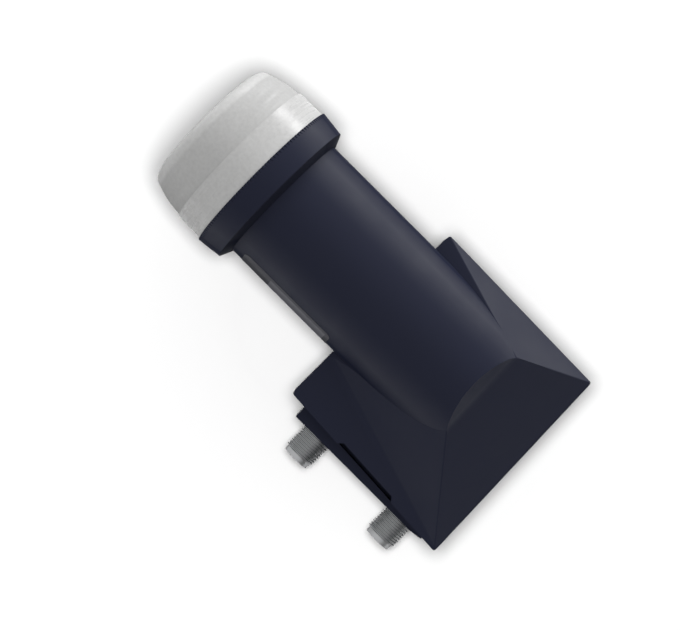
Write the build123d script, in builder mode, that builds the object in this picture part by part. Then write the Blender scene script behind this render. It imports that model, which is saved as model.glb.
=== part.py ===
"""Twin-output satellite LNB: feed cap, clamp neck, faceted housing and its inner works.

Frame: the feed axis is X, with the cap at -X. The connectors point to -Y, and the flat side
of the housing faces -Z. The origin is the middle of the clamp neck, on the feed axis.
"""

import math
import os

from build123d import *

os.makedirs("parts", exist_ok=True)

# Fits
fit_gap = 0.05
free_gap = 0.3

# Neck and shell walls
neck_radius = 20.0
neck_length = 39.8
shell_wall = 2.0

# Feed cap and the horn that it covers
horn_step = 1.0
horn_reach = 12.0
cap_length = 22.0
cap_band_length = 8.5
cap_band_taper = 0.2
cap_step = 0.4
cap_side_drop = 2.8
cap_side_bulge = 0.6
cap_dome_rise = 1.5
cap_corner_radius = 3.0
cap_wall = 1.6
cap_overlap = 0.1
spigot_length = 4.0
spigot_root = 3.0
spigot_wall = 1.4
spigot_clearance = 0.2

# Collar ring
collar_length = 8.6
collar_lip = 0.55
collar_taper = 0.85
collar_bevel_length = 1.4
collar_bevel_rim = 0.5

# Housing outline, seen from the camera side: margins beside the neck
housing_length = 56.7
back_skew = 2.2
margin_front_top = 5.45
margin_back_top = 4.3
margin_front_bottom = 16.45
margin_back_bottom = 19.65
lip_height = 3.0
outline_corner_radius = 0.8
base_edge_radius = 1.0
hip_radius = 0.5

# Facets: tilt of each one from level, in degrees
ramp_tilt = 22.2
back_tilt = 34.6
flank_tilt = 38.9
barrel_end_tilt = 56.2
crease_share = 0.753
crease_radius = 7.0
top_facet_gap = 0.47
fold_offset = 1.5
fold_radius = 3.5

# Notch in the eave between the connectors
notch_start = 18.7
notch_back_margin = 17.7
notch_depth = 1.4
notch_slope = 1.25
notch_drop = 12.0

# Connector pad
pad_front = 5.5
pad_back_margin = 4.3
pad_rise = 1.05
pad_face_wall = 2.2
pad_side_wall = 1.2
pad_height = 15.0
pad_end_ease = 0.5
pad_end_ease_length = 3.6

# Moulding marks: groove under the parting line, and the four ejector marks of the base
seam_width = 0.3
seam_depth = 0.3
ejector_radius = 3.0
ejector_depth = 0.25

# Output connectors
connector_height = 9.7
connector_front = 13.9
connector_back_margin = 12.2
connector_reach = 8.9
thread_radius = 4.75
tip_step = 0.6
tip_length = 1.5
relief_depth = 0.5
flange_radius = 6.0
shank_radius = 3.9
insulator_radius = 3.25
insulator_recess = 1.0
insulator_tail_radius = 2.2
contact_radius = 0.65
contact_overlap = 2.5
seal_thickness = 1.4

# Cast feed body
guide_bore = 9.25
guide_wall = 2.5
guide_length = 29.5
mouth_flare = 4.25
mouth_lip = 1.8
choke_rim = 2.0
choke_depth = 11.0
flare_length = 34.0
throat_radius = 16.0
throat_length = 17.5
ring_section = 0.88
ring_groove_width = 2.4
ring_place = 2.0
tray_gap = 1.2
tray_wall = 2.0
plate_thickness = 2.5

# Shield lid and its screws
lid_thickness = 1.2
lid_standoff = 1.5
rib_inset = 6.0
rib_wall = 1.2
boss_radius = 2.6
boss_inset = 2.2
screw_radius = 1.0
screw_length = 7.0
screw_head_radius = 1.9
screw_head_height = 1.1
screw_recess = 0.5
foot_radius = 3.0

# Circuit board, probes and small components
board_thickness = 1.0
board_gap = 0.4
post_radius = 1.6
probe_radius = 0.65
probe_reach = 4.5
probe_tail = 0.3
probe_insulator_radius = 1.75
front_probe_lead = 15.5
rear_probe_lead = 7.5
rod_lead = 12.5
rod_radius = 0.75
probe_drop = 5.25
probe_bend = 1.5
probe_block_width = 7.2
probe_block_wall = 1.6
probe_insulator_length = 3.0
chip_size = 6.0
chip_height = 0.9
crystal_length = 3.2
crystal_width = 2.5
crystal_height = 0.8
regulator_length = 6.5
regulator_width = 3.5
regulator_height = 1.6
transistor_length = 2.0
transistor_width = 1.3
transistor_height = 0.7
coil_radius = 1.5
coil_height = 2.2

# Radii of the nested round pieces
horn_radius = neck_radius + horn_step
spigot_inner = horn_radius + spigot_clearance
spigot_outer = spigot_inner + spigot_wall
cap_band_radius = spigot_outer - cap_overlap + cap_wall
cap_side_radius = cap_band_radius - cap_band_taper - cap_step
cap_crown_radius = cap_side_radius - cap_side_drop
collar_counterbore = spigot_outer + 2 * fit_gap
collar_front_radius = cap_band_radius + collar_lip
guide_outer = guide_bore + guide_wall

# Lengths of the housing along its lower eave, and of the notch in it
housing_length_bottom = housing_length + back_skew
notch_length = housing_length_bottom - notch_start - notch_back_margin
roof_height = 1.2 * neck_radius

# Places along the feed axis
front_x = neck_length / 2
collar_back_x = -front_x
collar_front_x = collar_back_x - collar_length
neck_tip_x = collar_front_x + spigot_length + free_gap
guide_back_x = front_x + guide_length
front_probe_x = guide_back_x - front_probe_lead
rear_probe_x = guide_back_x - rear_probe_lead
rod_x = guide_back_x - rod_lead
rear_probe_y = -(guide_bore + probe_drop)

# Corners of the housing outline at the eaves
eave_front_top = Vector(front_x, neck_radius + margin_front_top, 0)
eave_back_top = Vector(front_x + housing_length, neck_radius + margin_back_top, 0)
eave_back_bottom = Vector(front_x + housing_length_bottom, -neck_radius - margin_back_bottom, 0)
eave_front_bottom = Vector(front_x, -neck_radius - margin_front_bottom, 0)
fold_front = Vector(front_x, -neck_radius - fold_offset, 0)

# Roof: the top facet passes the barrel closely, and the barrel's end meets the back facet in a crease
top_tilt = math.degrees(math.asin((neck_radius + top_facet_gap) / eave_front_top.Y))
back_middle = housing_length + back_skew * eave_back_top.Y / (eave_back_top.Y - eave_back_bottom.Y)
crease_z = crease_share * neck_radius
crease_length = back_middle - crease_z / math.tan(math.radians(back_tilt))
barrel_back_x = front_x + crease_length + crease_z / math.tan(math.radians(barrel_end_tilt))

# Levels from the base up
base_z = -collar_front_radius - fit_gap
base_inner_z = base_z + shell_wall
lid_low_z = base_inner_z + lid_standoff
lid_top_z = lid_low_z + lid_thickness
connector_z = base_z + connector_height
board_top_z = connector_z - contact_radius - fit_gap
board_low_z = board_top_z - board_thickness
plate_top_z = -guide_bore
plate_low_z = plate_top_z - plate_thickness

# Tray of the cast body, inside the shells
tray_front_x = front_x + shell_wall + tray_gap
tray_back_x = front_x + housing_length - shell_wall - tray_gap
tray_top_y = eave_back_top.Y - shell_wall - tray_gap
tray_low_y = eave_front_bottom.Y + shell_wall + tray_gap
tray_length = tray_back_x - tray_front_x
tray_width = tray_top_y - tray_low_y
tray_centre = ((tray_front_x + tray_back_x) / 2, (tray_top_y + tray_low_y) / 2)
bay_length = tray_length - 2 * tray_wall
bay_width = tray_width - 2 * tray_wall
rib_length = bay_length - 2 * rib_inset
rib_width = bay_width - 2 * rib_inset
boss_pitch_x = bay_length - 2 * boss_inset
boss_pitch_y = bay_width / 2 - 2 * boss_inset
hole_radius = screw_radius + fit_gap

# Connector pad and connectors
pad_face_y = eave_back_bottom.Y - pad_rise
pad_inner_y = pad_face_y + pad_face_wall
pad_back = housing_length_bottom - pad_back_margin
pad_length = pad_back - pad_front
pad_middle_x = front_x + (pad_front + pad_back) / 2
connector_tip_y = pad_face_y - connector_reach
flange_face_y = pad_inner_y + seal_thickness
connector_back_y = tray_low_y + tray_wall
relief_radius = thread_radius - relief_depth
bore_floor_y = flange_face_y
insulator_front_y = connector_tip_y + insulator_recess
front_connector_x = front_x + connector_front
rear_connector_x = front_x + housing_length_bottom - connector_back_margin


def save(builder, name):
    """Name a finished piece and write its file."""
    builder.part.label = name
    export_step(builder.part, f"parts/{name}.step")


def facet_plane(start, end, tilt, inset):
    """Plane that rises from the line start-end at the eaves, moved inwards by inset."""
    along = (end - start).normalized()
    outward = Vector(-along.Y, along.X, 0)
    normal = outward * math.sin(math.radians(tilt)) + Vector(0, 0, math.cos(math.radians(tilt)))
    return Plane(origin=start - normal * inset, x_dir=along, z_dir=normal)


def is_hip(edge):
    """True for the straight slanted edges between two facets."""
    return edge.center().Z > 0 and abs(edge.start_point().Z - edge.end_point().Z) > lip_height


def section_plane(start, end):
    """Plane across the line start-end, at its start: local x outwards, local y up."""
    along = (end - start).normalized()
    outward = Vector(-along.Y, along.X, 0)
    return Plane(origin=start, x_dir=outward, z_dir=along)


def barrel_form(inset):
    """Neck and barrel up to a slanted end, which runs softly into the back facet."""
    facet = math.radians(back_tilt)
    slant = math.radians(barrel_end_tilt)
    middle = (facet + slant) / 2
    shift = inset / math.cos(slant - middle)
    bend = (crease_radius + inset) * math.tan(slant - middle)
    crease = Vector(-crease_z / math.tan(facet) - shift * math.sin(middle), crease_z - shift * math.cos(middle))
    facet_run = Vector(math.cos(facet), -math.sin(facet))
    slant_run = Vector(-math.cos(slant), math.sin(slant))
    foot = crease + facet_run * housing_length
    crown = crease + slant_run * roof_height
    with BuildPart() as barrel:
        with BuildSketch(Plane.YZ.offset(neck_tip_x)):
            Circle(neck_radius - inset)
        extrude(amount=barrel_back_x - neck_tip_x)
        with BuildSketch(section_plane(eave_back_top, eave_back_bottom)):
            with BuildLine():
                Line(foot, crease + facet_run * bend)
                TangentArc(crease + facet_run * bend, crease + slant_run * bend, tangent=-facet_run)
                Line(crease + slant_run * bend, crown)
                Polyline(crown, (foot.X, crown.Y), foot)
            make_face()
        extrude(amount=2 * housing_length_bottom, both=True, mode=Mode.SUBTRACT)
        split(bisect_by=facet_plane(eave_front_top, eave_back_top, top_tilt, inset), keep=Keep.BOTTOM)
    return barrel.part


def housing_form(inset):
    """Outer form of neck and housing together, or its cavity when inset by the wall."""
    tilt = math.radians(flank_tilt)
    fold_x = -inset * math.tan(tilt / 2)
    bend = (fold_radius + inset) * math.tan(tilt / 2)
    flange_bend = (fold_x + bend, -inset)
    flank_bend = (fold_x - bend * math.cos(tilt), -inset + bend * math.sin(tilt))
    flank_top = (fold_x - (roof_height + inset) / math.tan(tilt), roof_height)
    far_out = housing_length_bottom
    with BuildPart() as form:
        with BuildSketch(Plane.XY.offset(base_z + inset)) as outline:
            with BuildLine():
                corners = (eave_front_top, eave_back_top, eave_back_bottom, eave_front_bottom)
                Polyline(*[(corner.X, corner.Y) for corner in corners], close=True)
            make_face()
            if inset > 0:
                offset(amount=-inset, kind=Kind.INTERSECTION)
            else:
                fillet(outline.vertices(), radius=outline_corner_radius)
        extrude(amount=roof_height - base_z - inset)
        if inset == 0:
            fillet(form.edges().group_by(Axis.Z)[0], radius=base_edge_radius)
        split(bisect_by=facet_plane(eave_front_bottom, eave_front_top, ramp_tilt, inset), keep=Keep.BOTTOM)
        split(bisect_by=facet_plane(eave_back_top, eave_back_bottom, back_tilt, inset), keep=Keep.BOTTOM)
        with BuildSketch(section_plane(eave_back_bottom, fold_front)):
            with BuildLine():
                Line((far_out, -inset), flange_bend)
                TangentArc(flange_bend, flank_bend, tangent=(-1, 0))
                Line(flank_bend, flank_top)
                Polyline(flank_top, (far_out, roof_height), (far_out, -inset))
            make_face()
        extrude(amount=2 * housing_length_bottom, both=True, mode=Mode.SUBTRACT)
        split(bisect_by=facet_plane(eave_front_top, eave_back_top, top_tilt, inset), keep=Keep.BOTTOM)
        if inset == 0:
            fillet(form.edges().filter_by(GeomType.LINE).filter_by(is_hip), radius=hip_radius)
        add(barrel_form(inset))
    return form.part


def upper_region():
    """Space above the parting line, which steps down from the neck to the housing lip."""
    far = 2 * (housing_length_bottom + neck_length)
    with BuildPart() as region:
        with BuildSketch(Plane.XZ):
            with BuildLine():
                Polyline(
                    (-far, 0), (front_x, 0), (front_x, -lip_height), (far, -lip_height),
                    (far, far), (-far, far), close=True,
                )
            make_face()
        extrude(amount=far, both=True)
    return region.part


def notch_cut():
    """Tapered notch in the lower eave, open to the pad pocket below."""
    eave = Plane(origin=eave_front_bottom, x_dir=eave_back_bottom - eave_front_bottom, z_dir=(0, 0, 1))
    with BuildPart() as notch:
        with BuildSketch(eave.offset(-notch_drop)):
            with BuildLine():
                Polyline(
                    (notch_start, 0), (notch_start + notch_length, 0),
                    (notch_start + notch_length - notch_slope, notch_depth),
                    (notch_start + notch_slope, notch_depth), close=True,
                )
            make_face()
        extrude(amount=notch_drop + notch_depth)
    return notch.part


outer_form = housing_form(0)
cavity_form = housing_form(shell_wall)
top_region = upper_region()
eave_notch = notch_cut()

# Groove under the parting line, round the outside of the housing
with BuildPart() as seam_groove:
    add(outer_form)
    add(housing_form(seam_depth), mode=Mode.SUBTRACT)
    add(top_region.moved(Location((0, 0, -seam_width))), mode=Mode.INTERSECT)
    add(top_region, mode=Mode.SUBTRACT)
    split(bisect_by=Plane.YZ.offset(front_x), keep=Keep.TOP)

# Upper shell: half of the neck, the barrel and the facets
with BuildPart() as upper_shell:
    add(outer_form)
    add(cavity_form, mode=Mode.SUBTRACT)
    add(top_region, mode=Mode.INTERSECT)
    add(eave_notch, mode=Mode.SUBTRACT)
save(upper_shell, "upper_shell")

# Lower shell: the other half of the neck, the box walls, the base and the connector pad
with BuildPart() as lower_shell:
    add(outer_form)
    pad_low_z = connector_z - pad_height / 2
    with BuildSketch(Plane.XY.offset(pad_low_z)):
        with BuildLine():
            pad_ends = (front_x + pad_front, front_x + pad_back)
            Polyline(
                (pad_ends[0], eave_front_bottom.Y + shell_wall), (pad_ends[1], eave_front_bottom.Y + shell_wall),
                (pad_ends[1], pad_face_y + pad_end_ease),
                (pad_ends[1] - pad_end_ease_length, pad_face_y), (pad_ends[0], pad_face_y), close=True,
            )
        make_face()
    extrude(amount=pad_height)
    add(cavity_form, mode=Mode.SUBTRACT)
    add(top_region, mode=Mode.SUBTRACT)
    with BuildSketch(Plane.XY.offset(pad_low_z + pad_side_wall)):
        with Locations((pad_middle_x, pad_inner_y)):
            Rectangle(
                pad_length - 2 * pad_side_wall, margin_back_bottom,
                align=(Align.CENTER, Align.MIN),
            )
    extrude(amount=pad_height - 2 * pad_side_wall, mode=Mode.SUBTRACT)
    add(eave_notch, mode=Mode.SUBTRACT)
    with BuildSketch(Plane(origin=(0, pad_inner_y, connector_z), x_dir=(1, 0, 0), z_dir=(0, -1, 0))):
        with Locations((front_connector_x, 0), (rear_connector_x, 0)):
            Circle(thread_radius + free_gap)
    extrude(amount=2 * pad_face_wall, mode=Mode.SUBTRACT)
    with BuildSketch(Plane.XY.offset(base_inner_z)):
        with Locations(tray_centre):
            with GridLocations(tray_length / 2, tray_width / 2, 2, 2):
                Circle(foot_radius)
    extrude(amount=lid_standoff)
    add(seam_groove.part, mode=Mode.SUBTRACT)
    with BuildSketch(Plane.XY.offset(base_z)):
        with Locations(tray_centre):
            with GridLocations(rib_length, rib_width, 2, 2):
                Circle(ejector_radius)
    extrude(amount=ejector_depth, mode=Mode.SUBTRACT)
save(lower_shell, "lower_shell")

# Feed cap: a turned form hollowed from the back, with a spigot into the collar
with BuildPart() as feed_cap:
    with BuildSketch(Plane.XY) as cap_section:
        crown_s = cap_length - cap_dome_rise
        side_middle = (
            collar_front_x - (cap_band_length + crown_s) / 2,
            (cap_side_radius + cap_crown_radius) / 2 + cap_side_bulge,
        )
        with BuildLine():
            Polyline(
                (collar_front_x - cap_length, 0), (collar_front_x, 0), (collar_front_x, cap_band_radius),
                (collar_front_x - cap_band_length, cap_band_radius - cap_band_taper),
                (collar_front_x - cap_band_length, cap_side_radius),
            )
            ThreePointArc(
                (collar_front_x - cap_band_length, cap_side_radius), side_middle,
                (collar_front_x - crown_s, cap_crown_radius),
            )
            TangentArc(
                (collar_front_x - cap_length, 0), (collar_front_x - crown_s, cap_crown_radius), tangent=(0, 1),
            )
        make_face()
        fillet(cap_section.vertices().group_by(Axis.Y)[1], radius=cap_corner_radius)
    revolve(axis=Axis.X)
    offset(amount=-cap_wall, openings=feed_cap.faces().sort_by(Axis.X)[-1])
    with BuildSketch(Plane.XY):
        with Locations((collar_front_x - spigot_root, spigot_inner)):
            Rectangle(spigot_root + spigot_length, spigot_wall, align=(Align.MIN, Align.MIN))
    revolve(axis=Axis.X)
save(feed_cap, "feed_cap")

# Collar ring behind the cap, pressed on the end of the neck
with BuildPart() as collar_ring:
    with BuildSketch(Plane.XY):
        with BuildLine():
            bore = neck_radius + fit_gap
            Polyline(
                (collar_back_x, bore), (collar_back_x, bore + collar_bevel_rim),
                (collar_back_x - collar_bevel_length, collar_front_radius - collar_taper),
                (collar_front_x, collar_front_radius), (collar_front_x, collar_counterbore),
                (neck_tip_x, collar_counterbore), (neck_tip_x, bore), close=True,
            )
        make_face()
    revolve(axis=Axis.X)
save(collar_ring, "collar_ring")

# Cast body: choke horn, waveguide with closed end, and the tray for the electronics
ring_x = collar_front_x + ring_place
ring_groove_radius = spigot_inner - 2 * ring_section - fit_gap
with BuildPart() as cast_feed_body:
    with BuildSketch(Plane.XY):
        rim_x = collar_front_x - horn_reach
        mouth_radius = guide_bore + mouth_flare
        with BuildLine():
            Polyline(
                (guide_back_x, 0), (guide_back_x + guide_wall, 0), (guide_back_x + guide_wall, guide_outer),
                (neck_tip_x + throat_length, guide_outer), (neck_tip_x, throat_radius),
                (neck_tip_x, horn_radius), (rim_x, horn_radius), (rim_x, horn_radius - choke_rim),
                (rim_x + choke_depth, horn_radius - choke_rim), (rim_x + choke_depth, mouth_radius + mouth_lip),
                (rim_x, mouth_radius + mouth_lip), (rim_x, mouth_radius),
                (rim_x + flare_length, guide_bore), (guide_back_x, guide_bore), close=True,
            )
        make_face()
        with Locations((ring_x, ring_groove_radius)):
            Rectangle(ring_groove_width, horn_step + neck_radius, align=(Align.CENTER, Align.MIN), mode=Mode.SUBTRACT)
    revolve(axis=Axis.X)
    with BuildSketch(Plane.XY.offset(lid_top_z)):
        with Locations(tray_centre):
            Rectangle(tray_length, tray_width)
            Rectangle(bay_length, bay_width, mode=Mode.SUBTRACT)
    extrude(amount=plate_top_z - lid_top_z)
    with BuildSketch(Plane.XY.offset(plate_low_z)):
        with Locations(tray_centre):
            Rectangle(tray_length, tray_width)
    extrude(amount=plate_thickness)
    with BuildSketch(Plane.XY.offset(lid_top_z)):
        with Locations(tray_centre):
            with GridLocations(boss_pitch_x, boss_pitch_y, 2, 3):
                Circle(boss_radius)
    extrude(amount=plate_low_z - lid_top_z)
    with BuildSketch(Plane.XY.offset(board_top_z)):
        with Locations(tray_centre):
            with GridLocations(rib_length - rib_wall, rib_width - rib_wall, 2, 2):
                Circle(post_radius)
    extrude(amount=plate_low_z - board_top_z)
    block_reach = probe_insulator_radius + probe_block_wall
    with BuildSketch(Plane.XY.offset(plate_top_z)):
        with Locations((rear_probe_x, -guide_bore)):
            Rectangle(probe_block_width, probe_drop + block_reach, align=(Align.CENTER, Align.MAX))
    extrude(amount=block_reach - plate_top_z)
    with BuildSketch(Plane.YZ.offset(rim_x + flare_length)):
        Circle(guide_bore)
    extrude(amount=guide_back_x - rim_x - flare_length, mode=Mode.SUBTRACT)
    with BuildSketch(Plane.XY.offset(plate_low_z)):
        with Locations((front_probe_x, 0)):
            Circle(probe_insulator_radius + fit_gap)
    extrude(amount=-plate_low_z, mode=Mode.SUBTRACT)
    with BuildSketch(Plane.XY.offset(plate_low_z)):
        with Locations((rear_probe_x, rear_probe_y)):
            Circle(probe_insulator_radius + fit_gap)
    extrude(amount=probe_insulator_radius - plate_low_z, mode=Mode.SUBTRACT)
    with BuildSketch(Plane(origin=(rear_probe_x, 0, 0), x_dir=(1, 0, 0), z_dir=(0, -1, 0))):
        Circle(probe_insulator_radius + fit_gap)
    extrude(amount=-rear_probe_y, mode=Mode.SUBTRACT)
    with BuildSketch(Plane(origin=(rod_x, 0, 0), x_dir=(1, 0, 0), z_dir=(0, -1, 0))):
        Circle(rod_radius + fit_gap)
    extrude(amount=guide_outer, both=True, mode=Mode.SUBTRACT)
    with BuildSketch(Plane.XY.offset(lid_top_z)):
        with Locations(tray_centre):
            with GridLocations(boss_pitch_x, boss_pitch_y, 2, 3):
                Circle(hole_radius)
    extrude(amount=screw_length, mode=Mode.SUBTRACT)
    with BuildSketch(Plane(origin=(0, connector_back_y, connector_z), x_dir=(1, 0, 0), z_dir=(0, -1, 0))):
        with Locations((front_connector_x, 0), (rear_connector_x, 0)):
            Circle(shank_radius + fit_gap)
    extrude(amount=tray_wall, mode=Mode.SUBTRACT)
save(cast_feed_body, "cast_feed_body")

# O-ring between the horn and the spigot of the cap
with BuildPart() as cap_seal_ring:
    with BuildSketch(Plane.XY):
        with Locations((ring_x, spigot_inner - ring_section - fit_gap / 2)):
            Circle(ring_section)
    revolve(axis=Axis.X)
save(cap_seal_ring, "cap_seal_ring")

# Shield lid: plate under the tray, with a frame and one partition up to the board
with BuildPart() as shield_lid:
    with BuildSketch(Plane.XY.offset(lid_low_z)):
        with Locations(tray_centre):
            Rectangle(tray_length, tray_width)
            with GridLocations(boss_pitch_x, boss_pitch_y, 2, 3):
                Circle(hole_radius + free_gap / 2, mode=Mode.SUBTRACT)
    extrude(amount=lid_thickness)
    with BuildSketch(Plane.XY.offset(lid_top_z)):
        with Locations(tray_centre):
            Rectangle(rib_length, rib_width)
            Rectangle(rib_length - 2 * rib_wall, rib_width - 2 * rib_wall, mode=Mode.SUBTRACT)
            Rectangle(rib_wall, rib_width)
    extrude(amount=board_low_z - lid_top_z)
save(shield_lid, "shield_lid")

# Screws of the lid
with BuildPart() as lid_screws:
    with BuildSketch(Plane.XY.offset(lid_low_z)):
        with Locations(tray_centre):
            with GridLocations(boss_pitch_x, boss_pitch_y, 2, 3):
                Circle(screw_radius)
    extrude(amount=screw_length)
    with BuildSketch(Plane.XY.offset(lid_low_z - screw_head_height)):
        with Locations(tray_centre):
            with GridLocations(boss_pitch_x, boss_pitch_y, 2, 3):
                Circle(screw_head_radius)
    extrude(amount=screw_head_height)
    with BuildSketch(Plane.XY.offset(lid_low_z - screw_head_height)):
        with Locations(tray_centre):
            with GridLocations(boss_pitch_x, boss_pitch_y, 2, 3):
                Rectangle(2 * screw_radius, screw_recess)
                Rectangle(screw_recess, 2 * screw_radius)
    extrude(amount=screw_recess, mode=Mode.SUBTRACT)
save(lid_screws, "lid_screws")

# Circuit board, clear of the screw bosses and of the probes
with BuildPart() as circuit_board:
    with BuildSketch(Plane.XY.offset(board_low_z)):
        with Locations(tray_centre):
            Rectangle(bay_length - 2 * board_gap, bay_width - 2 * board_gap)
            with GridLocations(boss_pitch_x, boss_pitch_y, 2, 3):
                Circle(boss_radius + board_gap, mode=Mode.SUBTRACT)
        with Locations((front_probe_x, 0), (rear_probe_x, rear_probe_y)):
            Circle(probe_radius + fit_gap, mode=Mode.SUBTRACT)
    extrude(amount=board_thickness)
save(circuit_board, "circuit_board")

# Probes into the waveguide, their insulators, and the rod that parts the polarisations
with BuildPart() as vertical_probe:
    with BuildSketch(Plane.XY.offset(board_low_z - probe_tail)):
        with Locations((front_probe_x, 0)):
            Circle(probe_radius)
    extrude(amount=-probe_reach - board_low_z + probe_tail)
save(vertical_probe, "vertical_probe")

with BuildPart() as vertical_probe_insulator:
    with BuildSketch(Plane.XY.offset(plate_low_z)):
        with Locations((front_probe_x, 0)):
            Circle(probe_insulator_radius)
            Circle(probe_radius + fit_gap, mode=Mode.SUBTRACT)
    extrude(amount=plate_thickness)
save(vertical_probe_insulator, "vertical_probe_insulator")

with BuildPart() as horizontal_probe:
    with BuildLine() as probe_path:
        FilletPolyline(
            (rear_probe_x, rear_probe_y, board_low_z - probe_tail), (rear_probe_x, rear_probe_y, 0),
            (rear_probe_x, -probe_reach, 0), radius=probe_bend,
        )
    with BuildSketch(Plane.XY.offset(board_low_z - probe_tail)):
        with Locations((rear_probe_x, rear_probe_y)):
            Circle(probe_radius)
    sweep(path=probe_path.wires()[0])
save(horizontal_probe, "horizontal_probe")

with BuildPart() as horizontal_probe_insulator:
    with BuildSketch(Plane(origin=(rear_probe_x, -guide_bore - fit_gap, 0), x_dir=(1, 0, 0), z_dir=(0, -1, 0))):
        Circle(probe_insulator_radius)
        Circle(probe_radius + fit_gap, mode=Mode.SUBTRACT)
    extrude(amount=probe_insulator_length)
save(horizontal_probe_insulator, "horizontal_probe_insulator")

with BuildPart() as polarisation_rod:
    with BuildSketch(Plane(origin=(rod_x, 0, 0), x_dir=(1, 0, 0), z_dir=(0, -1, 0))):
        Circle(rod_radius)
    extrude(amount=guide_outer, both=True)
save(polarisation_rod, "polarisation_rod")


def connector_axis(place_x):
    """Axis of a connector, along Y."""
    return Axis((place_x, 0, connector_z), (0, 1, 0))


def make_connector(place_x, name):
    """Turned body: shank in the tray wall, flange, relief in the pad, thread and plain tip."""
    with BuildPart() as connector:
        with BuildSketch(Plane(origin=(place_x, 0, connector_z))):
            with BuildLine():
                Polyline(
                    (insulator_tail_radius + fit_gap, connector_back_y), (shank_radius, connector_back_y),
                    (shank_radius, tray_low_y), (flange_radius, tray_low_y), (flange_radius, flange_face_y),
                    (relief_radius, flange_face_y), (relief_radius, pad_face_y), (thread_radius, pad_face_y),
                    (thread_radius, connector_tip_y + tip_length),
                    (thread_radius - tip_step, connector_tip_y + tip_length),
                    (thread_radius - tip_step, connector_tip_y), (insulator_radius + fit_gap, connector_tip_y),
                    (insulator_radius + fit_gap, bore_floor_y), (insulator_tail_radius + fit_gap, bore_floor_y),
                    close=True,
                )
            make_face()
        revolve(axis=connector_axis(place_x))
    save(connector, f"{name}_connector")


def make_insulator(place_x, name):
    """Stepped insulator in the connector bore."""
    with BuildPart() as insulator:
        with BuildSketch(Plane(origin=(place_x, 0, connector_z))):
            with BuildLine():
                Polyline(
                    (contact_radius + fit_gap, connector_back_y), (insulator_tail_radius, connector_back_y),
                    (insulator_tail_radius, bore_floor_y), (insulator_radius, bore_floor_y),
                    (insulator_radius, insulator_front_y), (contact_radius + fit_gap, insulator_front_y), close=True,
                )
            make_face()
        revolve(axis=connector_axis(place_x))
    save(insulator, f"{name}_connector_insulator")


def make_contact(place_x, name):
    """Centre contact, from the mouth of the insulator to its pad on the board."""
    with BuildPart() as contact:
        with BuildSketch(Plane(origin=(place_x, insulator_front_y, connector_z), x_dir=(1, 0, 0), z_dir=(0, -1, 0))):
            Circle(contact_radius)
        extrude(amount=insulator_front_y - connector_back_y - contact_overlap)
    save(contact, f"{name}_centre_contact")


def make_seal(place_x, name):
    """Flat seal between the flange and the inside of the pad face."""
    with BuildPart() as seal:
        with BuildSketch(Plane(origin=(place_x, flange_face_y, connector_z), x_dir=(1, 0, 0), z_dir=(0, -1, 0))):
            Circle(flange_radius)
            Circle(relief_radius + fit_gap, mode=Mode.SUBTRACT)
        extrude(amount=seal_thickness)
    save(seal, f"{name}_connector_seal")


for connector_x, connector_name in ((front_connector_x, "front"), (rear_connector_x, "rear")):
    make_connector(connector_x, connector_name)
    make_insulator(connector_x, connector_name)
    make_contact(connector_x, connector_name)
    make_seal(connector_x, connector_name)

# Small components on the lower face of the board
bay_middle_x = tray_centre[0]
bay_middle_y = tray_centre[1]
half_rib = rib_length / 4

with BuildPart() as converter_chip:
    with BuildSketch(Plane.XY.offset(board_low_z - chip_height)):
        with Locations((bay_middle_x + half_rib, bay_middle_y)):
            Rectangle(chip_size, chip_size)
    extrude(amount=chip_height)
save(converter_chip, "converter_chip")

with BuildPart() as quartz_crystal:
    with BuildSketch(Plane.XY.offset(board_low_z - crystal_height)):
        with Locations((bay_middle_x + half_rib, bay_middle_y + rib_width / 4)):
            Rectangle(crystal_length, crystal_width)
    extrude(amount=crystal_height)
save(quartz_crystal, "quartz_crystal")

with BuildPart() as voltage_regulator:
    with BuildSketch(Plane.XY.offset(board_low_z - regulator_height)):
        with Locations((bay_middle_x + half_rib, bay_middle_y - rib_width / 4)):
            Rectangle(regulator_length, regulator_width)
    extrude(amount=regulator_height)
save(voltage_regulator, "voltage_regulator")

with BuildPart() as low_noise_transistors:
    with BuildSketch(Plane.XY.offset(board_low_z - transistor_height)):
        gate_gap = probe_radius + transistor_length
        with Locations(
            (front_probe_x + gate_gap, 0), (front_probe_x + gate_gap + 2 * transistor_length, 0),
            (rear_probe_x - gate_gap, rear_probe_y), (rear_probe_x - gate_gap, rear_probe_y + 2 * transistor_length),
        ):
            Rectangle(transistor_length, transistor_width)
    extrude(amount=transistor_height)
save(low_noise_transistors, "low_noise_transistors")

with BuildPart() as bias_chokes:
    with BuildSketch(Plane.XY.offset(board_low_z - coil_height)):
        choke_y = tray_low_y + tray_wall + rib_inset / 2
        with Locations((front_connector_x + 2 * coil_radius, choke_y), (rear_connector_x - 2 * coil_radius, choke_y)):
            Circle(coil_radius)
    extrude(amount=coil_height)
save(bias_chokes, "bias_chokes")
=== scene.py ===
# %% [markdown]
# A satellite LNB, dressed for rendering.
# The solids come packed from the CAD source and stay where they are. This script gives every one of
# them a finish, adds the fine pieces that are too small for the CAD model, and sets up a small studio.
# Lengths in the scene are in metres. Sizes are written in millimetres and turned into metres by MM. The
# feed axis runs along X.

# %% Load the frame
import math

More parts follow.
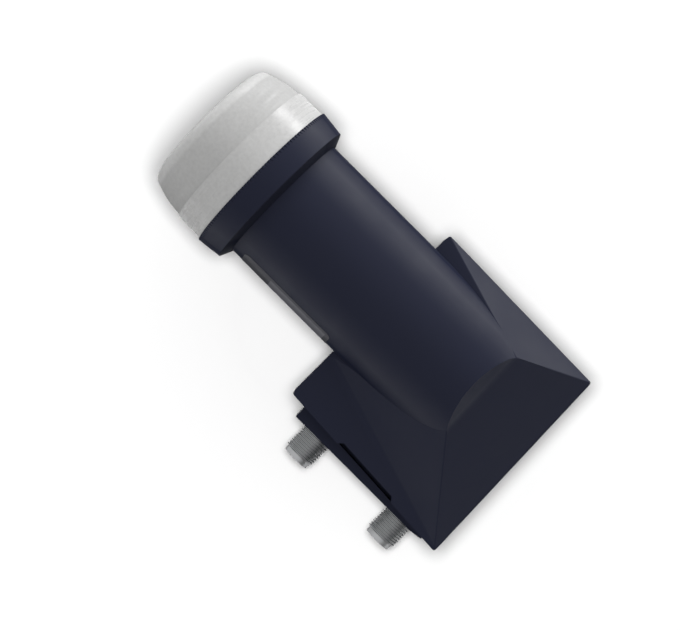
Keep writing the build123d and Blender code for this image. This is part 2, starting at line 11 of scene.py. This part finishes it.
import bmesh
import bpy
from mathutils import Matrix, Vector


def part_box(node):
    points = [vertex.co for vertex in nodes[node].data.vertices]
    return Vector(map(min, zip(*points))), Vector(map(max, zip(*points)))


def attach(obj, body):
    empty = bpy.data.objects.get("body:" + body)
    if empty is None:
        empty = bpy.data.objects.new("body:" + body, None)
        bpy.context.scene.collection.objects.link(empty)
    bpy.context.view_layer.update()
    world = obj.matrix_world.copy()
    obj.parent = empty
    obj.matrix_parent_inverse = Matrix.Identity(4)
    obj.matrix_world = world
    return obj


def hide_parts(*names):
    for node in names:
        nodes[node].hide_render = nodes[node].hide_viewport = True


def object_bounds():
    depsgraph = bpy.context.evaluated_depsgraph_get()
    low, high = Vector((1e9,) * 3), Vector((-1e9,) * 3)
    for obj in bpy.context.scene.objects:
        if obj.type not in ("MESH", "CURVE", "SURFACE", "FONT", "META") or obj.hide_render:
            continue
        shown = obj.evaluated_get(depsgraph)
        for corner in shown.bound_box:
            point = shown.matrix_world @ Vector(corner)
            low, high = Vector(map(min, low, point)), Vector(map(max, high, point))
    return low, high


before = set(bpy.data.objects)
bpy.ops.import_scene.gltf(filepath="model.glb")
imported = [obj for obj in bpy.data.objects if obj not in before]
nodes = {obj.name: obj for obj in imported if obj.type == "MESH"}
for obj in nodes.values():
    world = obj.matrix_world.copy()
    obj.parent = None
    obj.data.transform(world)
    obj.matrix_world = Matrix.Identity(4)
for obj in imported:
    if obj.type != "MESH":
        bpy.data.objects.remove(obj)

cad_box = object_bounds()
MM = 0.001
middle = Vector((14 * MM, -12 * MM, 0))
print("nodes:", len(nodes))

# %% [markdown]
# The photograph looks straight down on the LNB, which lies on its flat base with the feed axis across
# the picture's diagonal. So the camera hangs above the part, looks along -Z, and is turned by 45 degrees.
# The distance and the focal length together give the mild perspective and the size in the picture.

# %% Camera
camera_data = bpy.data.cameras.new("camera")
camera_data.sensor_width = 36.0
camera_data.lens = 103.6
camera = bpy.data.objects.new("camera", camera_data)
camera.location = (13.93 * MM, -11.71 * MM, 543 * MM)
camera.rotation_euler = (0, 0, math.radians(45))
bpy.context.scene.collection.objects.link(camera)
bpy.context.scene.camera = camera
bpy.context.scene.view_settings.view_transform = "Standard"
print("camera above", tuple(round(v, 4) for v in camera.location))

# %% [markdown]
# The floor is a wide flat sheet under the part. It is hidden from soft light that bounces, because the
# picture's shadow sides are dark, and a white sheet would fill them.

# %% Floor
floor_z = cad_box[0][2] - 0.02 * MM
floor_mesh = bpy.data.meshes.new("floor")
floor_bm = bmesh.new()
bmesh.ops.create_grid(floor_bm, x_segments=1, y_segments=1, size=20.0)
bmesh.ops.translate(floor_bm, verts=floor_bm.verts, vec=(0, 0, floor_z))
floor_bm.to_mesh(floor_mesh)
floor_bm.free()
floor = bpy.data.objects.new("floor", floor_mesh)
floor.visible_diffuse = False
bpy.context.scene.collection.objects.link(floor)
print("floor at", round(floor_z, 5))

# %% [markdown]
# The sheet is pale paper. A lamp of its own makes it white near the part, where its shadow has to show.
# Further out that lamp fades, so there the sheet glows by itself, more with every step away from the
# middle, until it is white. The glow is for the camera and for rays that are mirrored or pass through
# something clear: it doesn't light the part.

# %% Floor paper
def calculate(material, operation, *values):
    """A sum, product or other result of numbers and of other nodes' outputs."""
    links = material.node_tree.links
    node = material.node_tree.nodes.new("ShaderNodeMath")
    node.operation = operation
    for socket, value in zip(node.inputs, values):
        if isinstance(value, bpy.types.NodeSocket):
            links.new(value, socket)
        else:
            socket.default_value = value
    return node.outputs["Value"]


paper = bpy.data.materials.new("white_paper")
paper.use_nodes = True
paper_tree = paper.node_tree
sheet = paper_tree.nodes["Principled BSDF"]
sheet.inputs["Base Color"].default_value = (0.16, 0.16, 0.16, 1)
sheet.inputs["Roughness"].default_value = 1.0
sheet.inputs["Specular IOR Level"].default_value = 0.0
sheet.inputs["Emission Color"].default_value = (1, 1, 1, 1)
spot = paper_tree.nodes.new("ShaderNodeTexCoord")
away = paper_tree.nodes.new("ShaderNodeVectorMath")
away.operation = "DISTANCE"
away.inputs[1].default_value = middle + Vector((0, 0, floor_z))
glow = paper_tree.nodes.new("ShaderNodeMapRange")
glow.inputs["From Min"].default_value = 30 * MM
glow.inputs["From Max"].default_value = 500 * MM
ray = paper_tree.nodes.new("ShaderNodeLightPath")
seen = calculate(paper, "MAXIMUM", ray.outputs["Is Camera Ray"], ray.outputs["Is Glossy Ray"])
seen = calculate(paper, "MAXIMUM", seen, ray.outputs["Is Transmission Ray"])
shown = calculate(paper, "MULTIPLY", glow.outputs["Result"], seen)
paper_tree.links.new(spot.outputs["Object"], away.inputs[0])
paper_tree.links.new(away.outputs["Value"], glow.inputs["Value"])
paper_tree.links.new(shown, sheet.inputs["Emission Strength"])
floor_mesh.materials.append(paper)
print("paper nodes:", len(paper_tree.nodes))

# %% [markdown]
# The picture looks as if it was taken in a light tent: a white room, and one wide soft lamp at the part's
# +Y side, almost level with it. The satin plastic is brightest where it leans halfway towards that lamp.
# The lamp stays weak, or it would bleach the cap when that is seen from the lamp's side. A faint second
# lamp stands opposite.

# %% Lights
def softbox(name, place, aim, size, watts):
    """An area lamp at a place, turned to look at a point."""
    lamp = bpy.data.lights.new(name, "AREA")
    lamp.shape = "RECTANGLE"
    lamp.size, lamp.size_y = size
    lamp.energy = watts
    holder = bpy.data.objects.new(name, lamp)
    holder.location = place
    holder.rotation_euler = (Vector(aim) - Vector(place)).to_track_quat("-Z", "Y").to_euler()
    bpy.context.scene.collection.objects.link(holder)
    print(name, "lamp:", watts, "W")
    return holder


softbox("key", (-0.25, 0.87, 0.12), middle, (0.9, 0.28), 6.5)
softbox("fill", (0.05, -0.9, 0.35), middle, (0.8, 0.5), 1.0)

# %% [markdown]
# All around the part the picture has the same soft dark edge, as if a round light stood right above it.
# Such a light would also put a bright line along the middle of the neck, which the picture doesn't have.
# Light linking lets this one reach the floor alone, with the part still in its way. It hangs lower than
# the camera, so the shadow reaches out past the part on every side, and its width softens that edge.

# %% Floor light
overhead = softbox("overhead", middle + Vector((0, 0, 0.4)), middle, (0.13, 0.13), 9.8)
overhead.data.shape = "DISK"
overhead.visible_camera = False
floor_only = bpy.data.collections.new("floor_only")
floor_only.objects.link(floor)
overhead.light_linking.receiver_collection = floor_only

# %% [markdown]
# The room is white above the part and on the lamp's side, and darker low down on the other sides, because
# the picture's shadow sides are dark. So its brightness follows one direction, which leans from straight up
# towards the lamp.

# %% Room
world = bpy.data.worlds.new("studio")
bpy.context.scene.world = world
world.use_nodes = True
sky_tree = world.node_tree
room = sky_tree.nodes["Background"]
room.inputs["Strength"].default_value = 0.92
sky_place = sky_tree.nodes.new("ShaderNodeTexCoord")
sky_lean = sky_tree.nodes.new("ShaderNodeVectorMath")
sky_lean.operation = "DOT_PRODUCT"
sky_lean.inputs[1].default_value = (-0.4, 0.45, 0.8)
sky_level = sky_tree.nodes.new("ShaderNodeMapRange")
sky_level.inputs["From Min"].default_value = -0.1
sky_level.inputs["From Max"].default_value = 0.6
sky_level.inputs["To Min"].default_value = 0.2
sky_tree.links.new(sky_place.outputs["Generated"], sky_lean.inputs[0])
sky_tree.links.new(sky_lean.outputs["Value"], sky_level.inputs["Value"])
sky_tree.links.new(sky_level.outputs["Result"], room.inputs["Color"])
print("room strength:", round(room.inputs["Strength"].default_value, 2))

# %% [markdown]
# Every finish starts from one shader. Moulded plastic and cast metal are never quite even, so a helper
# lays two noises over the part in its own coordinates: a wide one that varies the colour and the gloss,
# and a fine one that is the grain, felt as a bump. A second helper gives a finish to solids of the CAD
# model.

# %% Finish helper
GLOSS_SPREAD = 0.06


def finish(name, colour, rough, grain_mm, bump_mm, metallic=0.0, tint=0.06, wide_mm=14.0):
    """A surface with grain of a stated size, and gentle changes of colour and gloss."""
    material = bpy.data.materials.new(name)
    material.use_nodes = True
    tree = material.node_tree
    shader = tree.nodes["Principled BSDF"]
    shader.inputs["Metallic"].default_value = metallic
    place = tree.nodes.new("ShaderNodeTexCoord")
    wide = tree.nodes.new("ShaderNodeTexNoise")
    wide.inputs["Scale"].default_value = 1000 / wide_mm
    wide.inputs["Detail"].default_value = 4
    grain = tree.nodes.new("ShaderNodeTexNoise")
    grain.inputs["Scale"].default_value = 1000 / grain_mm
    grain.inputs["Detail"].default_value = 2
    shade = tree.nodes.new("ShaderNodeMix")
    shade.data_type = "RGBA"
    shade.inputs["A"].default_value = (*[c * (1 - tint) for c in colour], 1)
    shade.inputs["B"].default_value = (*[min(1, c * (1 + tint)) for c in colour], 1)
    gloss = tree.nodes.new("ShaderNodeMapRange")
    gloss.inputs["From Min"].default_value = 0.3
    gloss.inputs["From Max"].default_value = 0.7
    gloss.inputs["To Min"].default_value = rough - GLOSS_SPREAD
    gloss.inputs["To Max"].default_value = rough + GLOSS_SPREAD
    bump = tree.nodes.new("ShaderNodeBump")
    bump.inputs["Strength"].default_value = 1.0
    bump.inputs["Distance"].default_value = bump_mm * MM
    join = tree.links.new
    join(place.outputs["Object"], wide.inputs["Vector"])
    join(place.outputs["Object"], grain.inputs["Vector"])
    join(wide.outputs["Fac"], shade.inputs["Factor"])
    join(shade.outputs["Result"], shader.inputs["Base Color"])
    join(wide.outputs["Fac"], gloss.inputs["Value"])
    join(gloss.outputs["Result"], shader.inputs["Roughness"])
    join(grain.outputs["Fac"], bump.inputs["Height"])
    join(bump.outputs["Normal"], shader.inputs["Normal"])
    return material


def dress(node_names, material):
    """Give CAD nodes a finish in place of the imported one."""
    for node_name in node_names:
        slots = nodes[node_name].data.materials
        slots.clear()
        slots.append(material)
    print(material.name, "on", len(node_names), "nodes")


# %% [markdown]
# The housing is moulded in a dark blue-grey plastic with a fine spark-eroded texture. It is satin, so it
# shows the side light as a broad soft band along the neck and hardly anything where it faces the viewer.
# A plain gloss would also mirror the white sheet along every edge that turns away, which such a texture
# doesn't do. So the gloss follows the angle of view: a curve sets it for surfaces seen straight on, at
# about 50 degrees, and almost edge on. The socket keeps the middle value for viewers without the curve.

# %% Shell
def satin(material, facing, halfway, grazing):
    """Set the gloss of a surface seen straight on, at about 50 degrees, and almost edge on."""
    tree = material.node_tree
    gloss = tree.nodes["Principled BSDF"].inputs["Specular IOR Level"]
    gloss.default_value = halfway
    view = tree.nodes.new("ShaderNodeLayerWeight")
    curve = tree.nodes.new("ShaderNodeValToRGB")
    stops = curve.color_ramp.elements
    stops[0].position, stops[0].color = 0.1, (facing, facing, facing, 1)
    stops[1].position, stops[1].color = 0.72, (grazing, grazing, grazing, 1)
    top = stops.new(0.4)
    top.color = (halfway, halfway, halfway, 1)
    tree.links.new(view.outputs["Facing"], curve.inputs["Fac"])
    tree.links.new(curve.outputs["Color"], gloss)


shell_plastic = finish("shell_plastic", (0.0165, 0.0188, 0.0355), 0.62, 0.35, 0.004)
satin(shell_plastic, 0.09, 0.30, 0.01)
dress(["upper_shell", "lower_shell"], shell_plastic)

# %% [markdown]
# New pieces need some helpers. One turns a finished mesh into a piece that rides with the part. The others
# make a round piece as a lathe would: a section is drawn as a closed line beside an axis, its corners are
# rounded by a vertex bevel, and it is spun all the way round.

# %% Piece helpers
X_AXIS, Y_AXIS = Vector((1, 0, 0)), Vector((0, 1, 0))
EDGE_ROUND = 0.12


def make_piece(name, bm, material):
    """Turn a bmesh into a piece that rides with the part."""
    mesh = bpy.data.meshes.new(name)
    bm.to_mesh(mesh)
    bm.free()
    mesh.materials.append(material)
    piece = bpy.data.objects.new(name, mesh)
    bpy.context.scene.collection.objects.link(piece)
    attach(piece, "root")
    print(name, "faces:", len(mesh.polygons))
    return piece


def section_corners(bm, section, centre, axis, side):
    """Vertices at (forward, radius) points in mm, beside an axis through a centre."""
    return [bm.verts.new(centre + axis * forward * MM + side * radius * MM) for forward, radius in section]


def turned(section, centre, axis, side, steps):
    """Spin a closed section round an axis through a centre."""
    bm = bmesh.new()
    corners = section_corners(bm, section, centre, axis, side)
    for first, second in zip(corners, corners[1:] + corners[:1]):
        bm.edges.new((first, second))
    bmesh.ops.bevel(bm, geom=bm.verts[:], offset=EDGE_ROUND * MM, offset_type="OFFSET", segments=2,
                    profile=0.5, affect="VERTICES", material=-1)
    bmesh.ops.spin(bm, geom=bm.verts[:] + bm.edges[:], cent=centre, axis=axis, dvec=(0, 0, 0),
                   angle=2 * math.pi, steps=steps, use_merge=True)
    bmesh.ops.remove_doubles(bm, verts=bm.verts, dist=1e-6)
    bmesh.ops.recalc_face_normals(bm, faces=bm.faces)
    return bm


# %% [markdown]
# Some finishes change at a place on the part. One helper gives a number that changes along an axis, and
# another multiplies the colour or the gloss by such a number. That needs no picture and no unwrapping.

# %% Helpers for changing finishes
def along(material, axis, start_mm, end_mm, first, second):
    """A number that goes from first to second between two places on an axis."""
    tree = material.node_tree
    place = tree.nodes.new("ShaderNodeTexCoord")
    split = tree.nodes.new("ShaderNodeSeparateXYZ")
    ramp = tree.nodes.new("ShaderNodeMapRange")
    ramp.inputs["From Min"].default_value = start_mm * MM
    ramp.inputs["From Max"].default_value = end_mm * MM
    ramp.inputs["To Min"].default_value = first
    ramp.inputs["To Max"].default_value = second
    tree.links.new(place.outputs["Object"], split.inputs["Vector"])
    tree.links.new(split.outputs[axis], ramp.inputs["Value"])
    return ramp.outputs["Result"]


def multiply(material, input_name, factor):
    """Multiply what feeds an input of the shader by a factor from another node."""
    tree = material.node_tree
    target = tree.nodes["Principled BSDF"].inputs[input_name]
    times = tree.nodes.new("ShaderNodeVectorMath")
    times.operation = "SCALE"
    tree.links.new(target.links[0].from_socket, times.inputs["Vector"])
    tree.links.new(factor, times.inputs["Scale"])
    tree.links.new(times.outputs["Vector"], target)


# %% [markdown]
# The collar is a ring of the same plastic. Its front edge carries a fine row of axial notches, left by the
# tool, a little over a millimetre apart. The CAD ring is smooth, so this piece stands in for it with the
# same section, turned round the feed axis. The notches are then every fourth column of vertices, pressed
# in. The bevel at the back is darker in the picture than these lights make it, so painted shade darkens the
# colour of the plastic from the start of the bevel back.

# %% Collar
collar_low, collar_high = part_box("collar_ring")
front, back = collar_low[0] / MM, collar_high[0] / MM
rim = collar_high[1] / MM
bore, bevel_rim, bevel_length, taper = 20.05, 20.55, 1.4, 0.85
recess_radius, recess_depth = 22.7, 4.3
notches, notch_reach, notch_depth, columns = 140, 1.3, 0.35, 4
rim_inside, bevel_start, bevel_blend = 24.0, back - bevel_length, 0.1
slope = taper / (bevel_start - front)
collar_section = [
    (back, bore), (back, bevel_rim), (bevel_start, rim - taper),
    (front + notch_reach, rim - slope * notch_reach), (front, rim),
    (front, recess_radius), (front + recess_depth, recess_radius), (front + recess_depth, bore),
]
bm = turned(collar_section, Vector((0, 0, 0)), X_AXIS, Y_AXIS, columns * notches)
for vert in bm.verts:
    column = round(math.atan2(vert.co.z, vert.co.y) / (2 * math.pi) * columns * notches)
    at_edge = vert.co.x < (front + 0.5 * notch_reach) * MM and vert.co.yz.length > rim_inside * MM
    if column % columns == 0 and at_edge:
        vert.co.yz *= 1 - notch_depth * MM / vert.co.yz.length
collar_plastic = finish("collar_plastic", (0.0160, 0.0183, 0.0350), 0.62, 0.35, 0.006)
satin(collar_plastic, 0.09, 0.30, 0.01)
# Painted shade: from the start of the bevel back, the colour is multiplied by 0.65.
painted_bevel_shade = along(collar_plastic, "X", bevel_start - bevel_blend, bevel_start + bevel_blend, 1.0, 0.65)
multiply(collar_plastic, "Base Color", painted_bevel_shade)
dress(["collar_ring"], collar_plastic)
collar = make_piece("notched_collar", bm, collar_plastic)
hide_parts("collar_ring")

# %% [markdown]
# The cap is a light grey plastic that lets the signal through. Its side has a coarse texture, which stops
# at a fine step. The band behind the step is smooth, most of all next to the step, and the front corner is
# smooth too. One finish does all three: numbers that change along X set the grey and the gloss of each
# stretch.

# %% Cap
cap_plastic = finish("cap_plastic", (0.487, 0.487, 0.484), 0.75, 0.55, 0.012, tint=0.13, wide_mm=1.0)
cap_tree = cap_plastic.node_tree
cap_tree.nodes["Principled BSDF"].inputs["Diffuse Roughness"].default_value = 0.3
cap_step, cap_corner = -37.0, -46.3
step_from, step_to = cap_step - 0.05, cap_step + 0.05
corner_from, corner_to = cap_corner - 0.5, cap_corner + 0.4
cap_stretches = [
    ("Base Color", step_from, step_to, 1.0, 1.11),
    ("Base Color", corner_from, corner_to, 1.15, 1.0),
    ("Roughness", step_from, step_to, 1.0, 0.36),
    ("Roughness", corner_from, corner_to, 0.6, 1.0),
    ("Roughness", cap_step + 2.0, cap_step + 5.0, 1.0, 1.2),
]
for input_name, start_mm, end_mm, first, second in cap_stretches:
    multiply(cap_plastic, input_name, along(cap_plastic, "X", start_mm, end_mm, first, second))
satin(cap_plastic, 0.15, 0.65, 0.08)
dress(["feed_cap"], cap_plastic)

# %% [markdown]
# The smooth band also shows fine rings, such as a turned mould leaves. A noise that is short along the
# axis and long round it changes the gloss in such streaks. It goes over the whole cap, but shows mostly
# where the cap is smooth.

# %% Cap rings
ring_width, ring_run = 0.8, 10.0
cap_place = cap_tree.nodes.new("ShaderNodeTexCoord")
stretch = cap_tree.nodes.new("ShaderNodeVectorMath")
stretch.operation = "MULTIPLY"
stretch.inputs[1].default_value = (1 / (ring_width * MM), 1 / (ring_run * MM), 1 / (ring_run * MM))
streaks = cap_tree.nodes.new("ShaderNodeTexNoise")
streaks.inputs["Scale"].default_value = 1.0
streak_gloss = cap_tree.nodes.new("ShaderNodeMapRange")
streak_gloss.inputs["From Min"].default_value = 0.35
streak_gloss.inputs["From Max"].default_value = 0.65
streak_gloss.inputs["To Min"].default_value = 0.7
streak_gloss.inputs["To Max"].default_value = 1.2
cap_tree.links.new(cap_place.outputs["Object"], stretch.inputs[0])
cap_tree.links.new(stretch.outputs["Vector"], streaks.inputs["Vector"])
cap_tree.links.new(streaks.outputs["Fac"], streak_gloss.inputs["Value"])
multiply(cap_plastic, "Roughness", streak_gloss.outputs["Result"])
print("cap nodes:", len(cap_tree.nodes))

# %% [markdown]
# Of the inner pieces only the insulators and contacts can be seen, in the mouths of the connectors. But
# each piece has the finish of what it is.

# %% Inner pieces
cast_metal = finish("cast_aluminium", (0.55, 0.56, 0.57), 0.5, 0.5, 0.01, 1.0)
steel = finish("steel", (0.55, 0.55, 0.56), 0.3, 0.3, 0.003, 1.0)
brass_pin = finish("brass_pin", (0.75, 0.55, 0.25), 0.25, 0.3, 0.002, 1.0)
contact_brass = finish("contact_brass", (0.75, 0.56, 0.27), 0.25, 0.3, 0.002, 1.0)
white_insulator = finish("white_insulator", (0.78, 0.78, 0.75), 0.45, 0.4, 0.003)
seal_rubber = finish("seal_rubber", (0.02, 0.02, 0.02), 0.7, 0.3, 0.01)
board_green = finish("board_green", (0.03, 0.15, 0.06), 0.4, 0.5, 0.004)
chip_black = finish("chip_black", (0.02, 0.02, 0.022), 0.55, 0.3, 0.006)
coil_copper = finish("coil_copper", (0.55, 0.25, 0.12), 0.35, 0.3, 0.01, 1.0)
dress(["cast_feed_body", "shield_lid"], cast_metal)
dress(["lid_screws", "polarisation_rod", "quartz_crystal"], steel)
dress(["vertical_probe", "horizontal_probe"], brass_pin)
dress(["front_centre_contact", "rear_centre_contact"], contact_brass)
dress(["vertical_probe_insulator", "horizontal_probe_insulator"], white_insulator)
dress(["front_connector_insulator", "rear_connector_insulator"], white_insulator)
dress(["cap_seal_ring", "front_connector_seal", "rear_connector_seal"], seal_rubber)
dress(["circuit_board"], board_green)
dress(["converter_chip", "voltage_regulator", "low_noise_transistors"], chip_black)
dress(["bias_chokes"], coil_copper)

# %% [markdown]
# The outputs are screw connectors turned from brass and plated with satin nickel. In the CAD each thread
# is a plain cylinder at its outer diameter. Here the ridge of the thread is one small face that is spun
# along the axis as it turns, one pitch for each turn, with 32 turns to the inch. One end of it runs a
# little way into the pad. At the other, a cut at the shoulder of the plain tip ends it as a lathe would.

# %% Thread
pitch, crest, core = 25.4 / 32, 4.68, 4.2
crest_half, root_half, ridge_foot = 0.07, 0.37, 0.1
thread_end, thread_overrun, plain_tip = 8.9, 0.4, 1.5
turns, steps_per_turn = 10, 48
print("thread pitch:", round(pitch, 3), "mm")


def thread_ridge(centre, tip):
    """Ridge of a thread as a mesh, from the shoulder of the plain tip to just inside the pad."""
    ridge = bmesh.new()
    start = tip + thread_end + thread_overrun - turns * pitch
    profile = [
        (start - root_half, core - ridge_foot), (start - crest_half, crest),
        (start + crest_half, crest), (start + root_half, core - ridge_foot),
    ]
    face = ridge.faces.new(section_corners(ridge, profile, centre, Y_AXIS, X_AXIS))
    bmesh.ops.spin(ridge, geom=[face], cent=centre, axis=Y_AXIS, dvec=Y_AXIS * pitch * MM / steps_per_turn,
                   angle=2 * math.pi * turns, steps=turns * steps_per_turn)
    shoulder = Vector((0, (tip + plain_tip) * MM, 0))
    cut = bmesh.ops.bisect_plane(ridge, geom=ridge.verts[:] + ridge.edges[:] + ridge.faces[:], dist=1e-7,
                                 plane_co=shoulder, plane_no=-Y_AXIS, clear_outer=True)
    cut_edges = [part for part in cut["geom_cut"] if isinstance(part, bmesh.types.BMEdge)]
    bmesh.ops.holes_fill(ridge, edges=cut_edges, sides=0)
    bmesh.ops.recalc_face_normals(ridge, faces=ridge.faces)
    ridge_mesh = bpy.data.meshes.new("ridge")
    ridge.to_mesh(ridge_mesh)
    ridge.free()
    return ridge_mesh


# %% [markdown]
# The body of a connector is turned like the collar, with the core of the thread, the plain tip, the flange
# inside the pad and the stepped bore. The ridge is then added to the same mesh.

# %% Connectors
nickel = finish("satin_nickel", (0.425, 0.43, 0.44), 0.35, 0.5, 0.004, 1.0)
nickel.node_tree.nodes["Principled BSDF"].inputs["Specular Tint"].default_value = (0.3, 0.3, 0.3, 1)
dress(["front_connector", "rear_connector"], nickel)
contact_bore, socket_bore, tip_radius, shank, flange = 2.25, 3.3, 4.05, 3.9, 6.0
shank_length, flange_reach, body_sides = 2.0, 5.85, 64


def threaded_connector(node_name, piece_name):
    """Body of a connector with its thread, in the place of the CAD node."""
    low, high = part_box(node_name)
    tip, tail = low[1] / MM, high[1] / MM
    shank_y, flange_y, shoulder_y = tail - shank_length, tail - flange_reach, tip + plain_tip
    centre = Vector(((low[0] + high[0]) / 2, 0, (low[2] + high[2]) / 2))
    section = [
        (tail, contact_bore), (tail, shank), (shank_y, shank), (shank_y, flange), (flange_y, flange),
        (flange_y, core), (shoulder_y, core), (shoulder_y, tip_radius), (tip, tip_radius),
        (tip, socket_bore), (flange_y, socket_bore), (flange_y, contact_bore),
    ]
    bm = turned(section, centre, Y_AXIS, X_AXIS, body_sides)
    ridge_mesh = thread_ridge(centre, tip)
    bm.from_mesh(ridge_mesh)
    bpy.data.meshes.remove(ridge_mesh)
    piece = make_piece(piece_name, bm, nickel)
    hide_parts(node_name)


threaded_connector("front_connector", "front_threaded_connector")
threaded_connector("rear_connector", "rear_threaded_connector")

# %% [markdown]
# In the lower eave is a shallow notch, and deep in it a dark ledge shows. The CAD notch is open down to the
# hollow pad, so this piece is that ledge: the outline of the notch as one face, extruded down, with its
# upper edges rounded.

# %% Notch ledge
eave_front, eave_back = Vector((19.9, -36.45, 0)), Vector((78.8, -39.65, 0))
eave_run = (eave_back - eave_front).normalized()
eave_in = Vector((-eave_run.y, eave_run.x, 0))
ledge_level, ledge_depth, ledge_round = -9.8, 1.5, 0.25
notch_outline = [(18.6, 0.1), (41.3, 0.1), (40.0, 1.45), (19.9, 1.45)]
bm = bmesh.new()
corners = [bm.verts.new((eave_front + eave_run * run + eave_in * deep) * MM) for run, deep in notch_outline]
ledge_face = bm.faces.new(corners)
bmesh.ops.translate(bm, verts=bm.verts, vec=(0, 0, ledge_level * MM))
lowered = bmesh.ops.extrude_face_region(bm, geom=[ledge_face], use_keep_orig=True)["geom"]
lowered_verts = [part for part in lowered if isinstance(part, bmesh.types.BMVert)]
bmesh.ops.translate(bm, verts=lowered_verts, vec=(0, 0, -ledge_depth * MM))
bmesh.ops.recalc_face_normals(bm, faces=bm.faces)
bmesh.ops.bevel(bm, geom=ledge_face.edges[:], offset=ledge_round * MM, offset_type="OFFSET", segments=3,
                profile=0.5, affect="EDGES", material=-1)
make_piece("notch_ledge", bm, shell_plastic)

# %% [markdown]
# A sticker is wrapped round the side of the neck, and only its upper border shows in the picture. It is
# made flat, as it comes off its roll: a sheet with rounded corners, cut into narrow strips and given its
# thickness. Then it is bent round the neck, length for length.

# %% Neck sticker
sticker_from, sticker_to = -16.2, 16.4
sticker_top, sticker_wrap = math.radians(-63), math.radians(86)
neck_radius, sticker_thickness, sticker_lift, corner_round = 20.0, 0.08, 0.005, 1.5
width, strips = sticker_wrap * neck_radius, 48
bm = bmesh.new()
bmesh.ops.create_grid(bm, x_segments=1, y_segments=1, size=0.5)
bmesh.ops.scale(bm, vec=((sticker_to - sticker_from) * MM, width * MM, 1), verts=bm.verts)
bmesh.ops.bevel(bm, geom=bm.verts[:], offset=corner_round * MM, offset_type="OFFSET", segments=5,
                profile=0.5, affect="VERTICES", material=-1)
for strip in range(1, strips):
    bmesh.ops.bisect_plane(bm, geom=bm.verts[:] + bm.edges[:] + bm.faces[:], dist=1e-7,
                           plane_co=(0, (strip / strips - 0.5) * width * MM, 0), plane_no=Y_AXIS)
bmesh.ops.recalc_face_normals(bm, faces=bm.faces)
bmesh.ops.solidify(bm, geom=bm.faces[:], thickness=sticker_thickness * MM)
bmesh.ops.recalc_face_normals(bm, faces=bm.faces)
lowest = min(vert.co.z for vert in bm.verts)
sticker_middle = (sticker_from + sticker_to) / 2 * MM
for vert in bm.verts:
    tilt = sticker_top - (0.5 * width * MM - vert.co.y) / (neck_radius * MM)
    radius = (neck_radius + sticker_lift) * MM + vert.co.z - lowest
    vert.co = (vert.co.x + sticker_middle, radius * math.sin(tilt), radius * math.cos(tilt))
print("sticker:", round(width, 1), "mm round the neck, in", strips, "strips")

# %% [markdown]
# The sticker is a dull grey film. It stays without print here, with just a paler field below its border.
# The field is a product of numbers that change along X and Z.

# %% Sticker film
sticker_film = finish("sticker_film", (0.095, 0.096, 0.108), 0.5, 0.25, 0.002, tint=0.22, wide_mm=0.9)
satin(sticker_film, 0.1, 0.1, 0.0)
field_from, field_to, field_top, field_gain, field_edge = -6.1, 14.8, 7.9, 0.8, 0.1
field_start = along(sticker_film, "X", field_from - field_edge, field_from + field_edge, 0.0, 1.0)
field_end = along(sticker_film, "X", field_to - field_edge, field_to + field_edge, 1.0, 0.0)
field_below = along(sticker_film, "Z", field_top - field_edge, field_top + field_edge, 1.0, 0.0)
field = calculate(sticker_film, "MULTIPLY", field_start, field_end)
field = calculate(sticker_film, "MULTIPLY", field, field_below)
multiply(sticker_film, "Base Color", calculate(sticker_film, "MULTIPLY_ADD", field, field_gain, 1.0))
make_piece("neck_sticker", bm, sticker_film)
